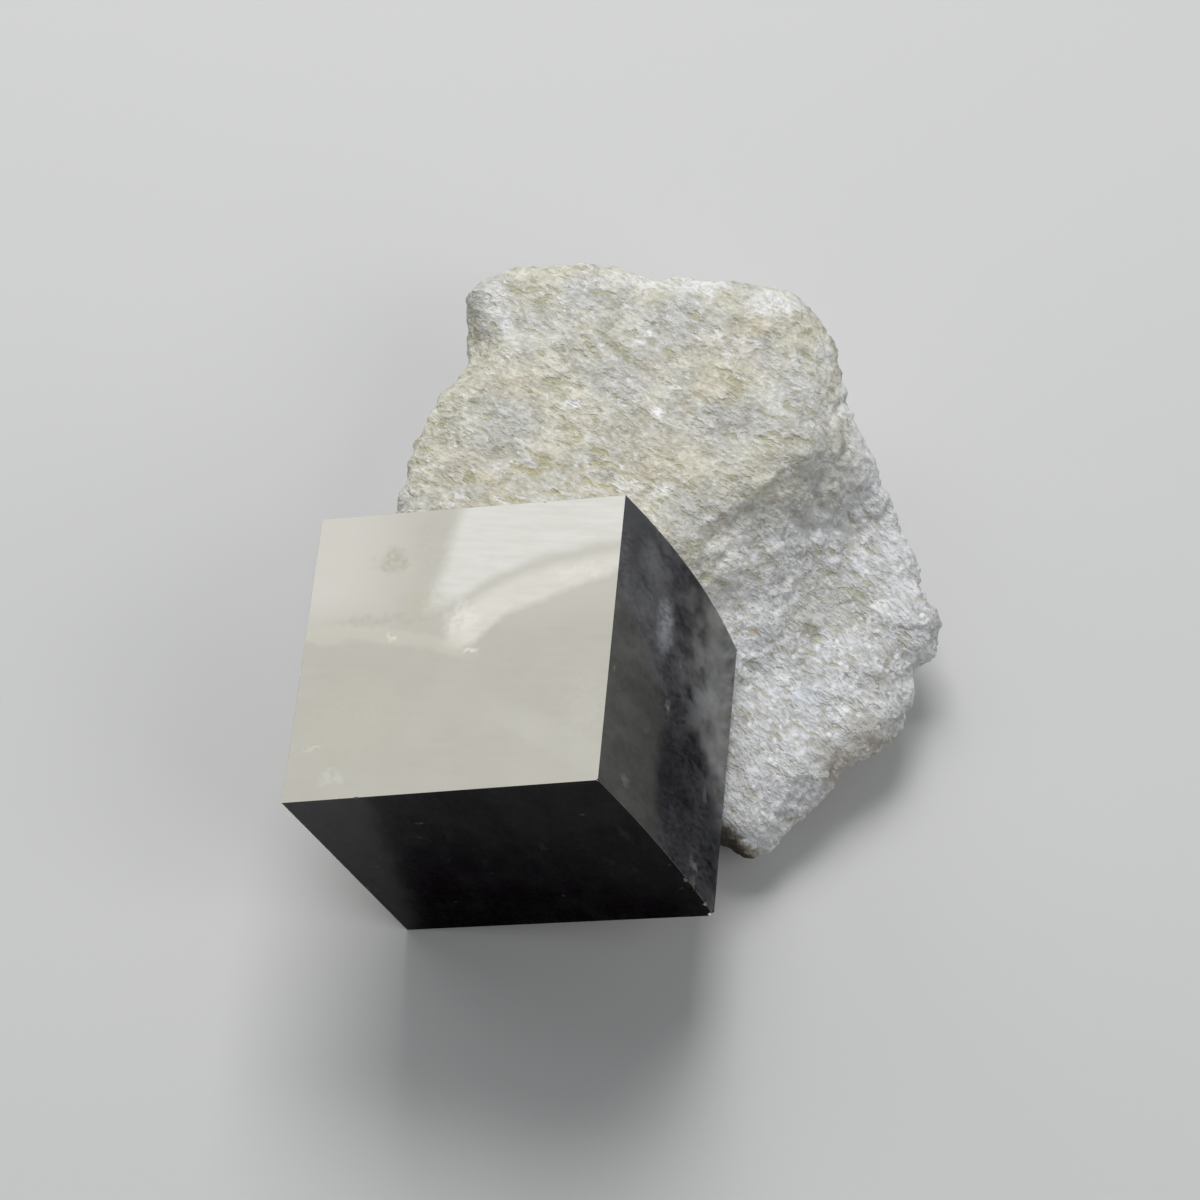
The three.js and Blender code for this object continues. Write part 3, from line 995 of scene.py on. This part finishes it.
# the lightest patches are painted reflection where fields meet; the dark olive one is a pit
BRIGHT_SPOTS = [  # centre and reach in mm, colour, strength
    ((5.7, 16.8, CUBE_HEIGHT), (1.5, 1.4, 9), (0.27, 0.25, 0.15), 0.36),
    ((11.2, 12.1, CUBE_HEIGHT), (1.7, 2.0, 9), (0.72, 0.70, 0.64), 0.5),
    ((12.3, 9.8, CUBE_HEIGHT), (0.8, 0.35, 9), (0.78, 0.76, 0.70), 0.6),
    ((8.3, 13.6, CUBE_HEIGHT), (2.4, 1.9, 9), (0.44, 0.42, 0.32), 0.5),
    ((6.6, 11.2, CUBE_HEIGHT), (0.7, 0.35, 9), (0.72, 0.68, 0.52), 0.6),
    ((19.2, 15.1, CUBE_HEIGHT), (2.6, 0.7, 9), (0.70, 0.68, 0.62), 0.4),
    ((3.4, 1.3, CUBE_HEIGHT), (1.3, 0.8, 9), (0.56, 0.55, 0.50), 0.4),
    ((1.9, 3.4, CUBE_HEIGHT), (0.8, 0.3, 9), (0.62, 0.60, 0.53), 0.5),
    ((8.4, 17.6, CUBE_HEIGHT), (2.0, 4.2, 9), (0.43, 0.415, 0.37), 0.5),
    ((5.5, 12.5, CUBE_HEIGHT), (5.0, 0.5, 9), (0.40, 0.385, 0.32), 0.5),
    ((14.6, 8.2, CUBE_HEIGHT), (3.4, 4.2, 9), (0.41, 0.395, 0.355), 0.5),
    ((4.0, 5.5, CUBE_HEIGHT), (5.0, 4.5, 9), (0.46, 0.44, 0.36), 0.5),
    ((20.6, 5.0, CUBE_HEIGHT), (2.2, 5.0, 9), (0.51, 0.50, 0.46), 0.25),
]
mottle = noise(net, own, 3, 3)
tone = spotted(net, tone, warped(net, own, 1.6), BRIGHT_SPOTS, mottle, 0.3, 0.62, 0.3)
hills = sum_of(net, "MULTIPLY_ADD", ripple, 1.0, times(net, marks, 0.06))
bump = place(net, "ShaderNodeBump", {"Strength": 0.12, "Distance": 0.05 * MM, "Height": hills})
net.links.new(tone, bright_shader.inputs["Base Color"])
net.links.new(ramp(net, marks, 0, 1, 0.13, 0.155), bright_shader.inputs["Roughness"])
net.links.new(bump.outputs[0], bright_shader.inputs["Normal"])
print("bright face has", len(net.nodes), "nodes")


# %% [markdown]
# ## Pyrite: the dark faces and their painted reflections
# The front and the right face are dark grey, with fine growth streaks that all
# run one way, milky clouds and a few small marks. Their broad dark and light
# tones are painted reflections of the shaded table and of the stone close by.
# Plain dark metal would look like plastic, and the same noise all over like
# dirt. So a small function paints the broad tones of each face, and one
# function adds to all of them what they share. A low Specular Tint keeps the
# two faces from turning white where they are seen at a flat angle.


# %% Streaked faces
STREAK_TURN = (0, math.radians(75), math.radians(12))  # turns the streaks' direction onto X
STREAK = (0.42, 0.42, 0.43)
GRIT = (0.62, 0.62, 0.62)


def streaked(name, paint, edge_tint, spots=()):
    """A metal face: paint gives its broad tone, on the front and right a painted reflection; fine
    streaks, spots and grit go over it.
    """
    material, net, shader = metal(name, 0.2, edge_tint)
    own, turned = crystal_place(net, STREAK_TURN)
    places = place(net, "ShaderNodeSeparateXYZ", {0: own}).outputs
    clouds = drawn_out(net, turned, 2, 2.2, 3)
    wander = sum_of(net, "MULTIPLY_ADD", clouds, 3.0, -1.5)
    streaks = drawn_out(net, turned, 0.3, 5, 4)
    tone, milk = paint(net, places, clouds, wander)
    ragged = warped(net, own, 1.2)
    tone = spotted(net, tone, ragged, spots, streaks, 0.1, 0.8, 0.4)
    tone = mixed(net, times(net, streaks, milk), tone, STREAK)
    grit = use_group(net, specks, {"Vector": ragged, "Size": 0.5, "Share": 0.012})
    tone = mixed(net, times(net, grit, 0.25), tone, GRIT)
    bump_inputs = {"Strength": 0.15, "Distance": 0.03 * MM, "Height": streaks}
    bump = place(net, "ShaderNodeBump", bump_inputs)
    net.links.new(tone, shader.inputs["Base Color"])
    net.links.new(ramp(net, clouds, 0, 1, 0.16, 0.22), shader.inputs["Roughness"])
    net.links.new(bump.outputs[0], shader.inputs["Normal"])
    print(name, "has", len(net.nodes), "nodes and", len(spots), "spots")
    return material


# %% Right face
FRONT_ZONE = [
    (0, 10.3), (2.6, 9.7), (5.9, 8.9), (9.1, 8.1), (11, 7.1),
    (12.2, 4.8), (13.1, 1.8), (14, 0), (25, 0),
]
MILKY_EDGE = [(0, 13), (5, 12), (9, 11), (13, 12), (17, 15), (25, 17)]
LOW_CORNER = [(0, 25), (5, 24), (8, 20.5), (11, 17.5), (14, 15.8), (18, 15), (25, 14.5)]


def paint_right_reflections(net, places, clouds, wander):
    """Painted reflections: smooth olive grey at the front, dark with milky clouds behind, the stone
    mirrored light low at the back.
    """
    back = places[1]
    down = sum_of(net, "SUBTRACT", CUBE_HEIGHT, places[2])
    slight = times(net, wander, 0.4)
    tone = mixed(net, clouds, (0.125, 0.125, 0.135), (0.165, 0.165, 0.17))
    past_front = field(net, back, down, FRONT_ZONE, 0.8, slight)
    smooth = mixed(net, clouds, (0.168, 0.168, 0.162), (0.218, 0.218, 0.206))
    tone = mixed(net, past_front, smooth, tone)
    milky = times(net, field(net, down, back, MILKY_EDGE, 3.0, wander), clouds)
    tone = mixed(net, times(net, milky, 0.6), tone, (0.29, 0.29, 0.31))
    # painted reflection of the stone, light low at the back of the face
    low_stone_reflection = field(net, back, down, LOW_CORNER, 5.5, wander)
    tone = mixed(net, low_stone_reflection, tone, (0.85, 0.85, 0.84))
    return tone, sum_of(net, "MULTIPLY_ADD", past_front, 0.14, 0.08)


# painted reflections: the broad dark and light patches mirror the surroundings; the small ones are
# real marks
RIGHT_REFLECTIONS_AND_MARKS = [  # centre and reach in mm, colour, strength
    ((CUBE_WIDTH, 4.6, 4.0), (9, 6.5, 5.5), (0.27, 0.27, 0.29), 0.75),
    ((CUBE_WIDTH, 5.4, 12.4), (9, 5.0, 2.2), (0.085, 0.085, 0.095), 0.95),
    ((CUBE_WIDTH, 19.0, 21.0), (9, 5.5, 4.5), (0.10, 0.10, 0.10), 0.75),
    ((CUBE_WIDTH, 16.5, 22.0), (9, 3.0, 1.5), (0.24, 0.24, 0.26), 0.5),
    ((CUBE_WIDTH, 14.6, 14.9), (9, 2.8, 1.9), (0.60, 0.62, 0.66), 0.85),
    ((CUBE_WIDTH, 17.8, 18.0), (9, 1.8, 2.4), (0.32, 0.33, 0.35), 0.5),
    ((CUBE_WIDTH, 9.5, 13.1), (9, 0.9, 0.6), (0.48, 0.48, 0.45), 0.7),
    ((CUBE_WIDTH, 6.9, 4.5), (9, 0.8, 0.7), (0.48, 0.48, 0.49), 0.7),
    ((CUBE_WIDTH, 4.6, 1.2), (9, 0.5, 0.9), (0.48, 0.48, 0.49), 0.5),
    ((CUBE_WIDTH, 1.5, 5.4), (9, 0.4, 1.4), (0.71, 0.71, 0.74), 0.9),
    ((CUBE_WIDTH, 0.4, 5.0), (9, 0.5, 1.0), (0.48, 0.48, 0.43), 0.6),
    ((CUBE_WIDTH, 1.8, 18.5), (9, 0.4, 1.1), (0.38, 0.38, 0.38), 0.6),
]
right_face = streaked("pyrite_right_face", paint_right_reflections, 0.2, RIGHT_REFLECTIONS_AND_MARKS)

# %% Front face
LIGHTER_ABOVE = [(0, 12), (6, 12), (11, 11.5), (14, 10), (17, 6), (20, 3.5), (25, 2)]
LEFT_WEDGE = [(0, 0.7), (10, 3.2), (20.7, 5.9), (25, 7)]


def paint_front_reflections(net, places, clouds, wander):
    """Painted reflection of the table: near black low down in the middle, where it lies in shade,
    dark grey above, grey in a wedge along the left edge, where it is lit.
    """
    across, back, up = places
    slight = times(net, wander, 0.4)
    above = field(net, across, up, LIGHTER_ABOVE, 5.0, slight)
    tone = mixed(net, above, (0.1355, 0.129, 0.134), (0.156, 0.152, 0.156))
    # painted reflection of the lit table, grey along the left edge
    past_wedge = field(net, up, across, LEFT_WEDGE, 1.4, slight)
    tone = mixed(net, past_wedge, (0.225, 0.225, 0.229), tone)
    return tone, sum_of(net, "MULTIPLY_ADD", clouds, 0.02, 0.02)


FRONT_SPOTS = [
    ((14.6, 0, 12.8), (0.4, 9, 0.9), (0.24, 0.24, 0.25), 0.6),
    ((9.8, 0, 11.0), (0.3, 9, 0.9), (0.20, 0.20, 0.21), 0.5),
    ((20.8, 0, 14.0), (0.4, 9, 2.2), (0.22, 0.22, 0.23), 0.6),
    ((18.2, 0, 10.0), (0.4, 9, 1.2), (0.20, 0.20, 0.20), 0.5),
    ((3.5, 0, 18.0), (0.4, 9, 1.0), (0.22, 0.22, 0.23), 0.5),
]
front_face = streaked("pyrite_front_face", paint_front_reflections, 0.0, FRONT_SPOTS)


# %% Faces away from the camera
def paint_far(net, places, clouds, wander):
    """Even, clean metal, only faintly streaked."""
    return mixed(net, clouds, (0.44, 0.42, 0.34), (0.52, 0.50, 0.42)), 0.1


far_faces = streaked("pyrite_far_faces", paint_far, 1.0)

# %% [markdown]
# ## A finish for each face
# One material could mix all four finishes by the direction of the surface, but
# then every point of the crystal would pay for all of them. A mesh may carry
# several materials, and each of its faces the number of one. The normal of a
# face, turned back into the crystal's own directions, tells which side of the
# cube it belongs to. The bevels and the hollows of the chips follow the same
# rule.

# %% Give each face of the crystal its finish
STRAIGHT = 0.95  # the bright side's own faces point up at least this much, of 1
MOSTLY = 0.4  # enough to count as facing that way
for finish in (bright_face, right_face, front_face, far_faces):
    crystal.data.materials.append(finish)
own_directions = to_crystal.to_3x3()
for face in crystal.data.polygons:
    across, back, up = own_directions @ face.normal
    if up > STRAIGHT:
        face.material_index = 0
    elif across > MOSTLY:
        face.material_index = 1
    elif back < -MOSTLY:
        face.material_index = 2
    else:
        face.material_index = 3
counts = [sum(1 for face in crystal.data.polygons if face.material_index == i) for i in range(4)]
print("faces with each finish:", counts)

# %% [markdown]
# ## Hand the pieces over
# Each finer piece stands for its solid, which stays hidden for the physics, and
# rides on the same body.

# %% Finish the scene
for piece, node, slot_name in ((stone, "marl_matrix", "marl"), (crystal, "pyrite_cube", "pyrite")):
    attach(piece, "root")
    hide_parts(node)
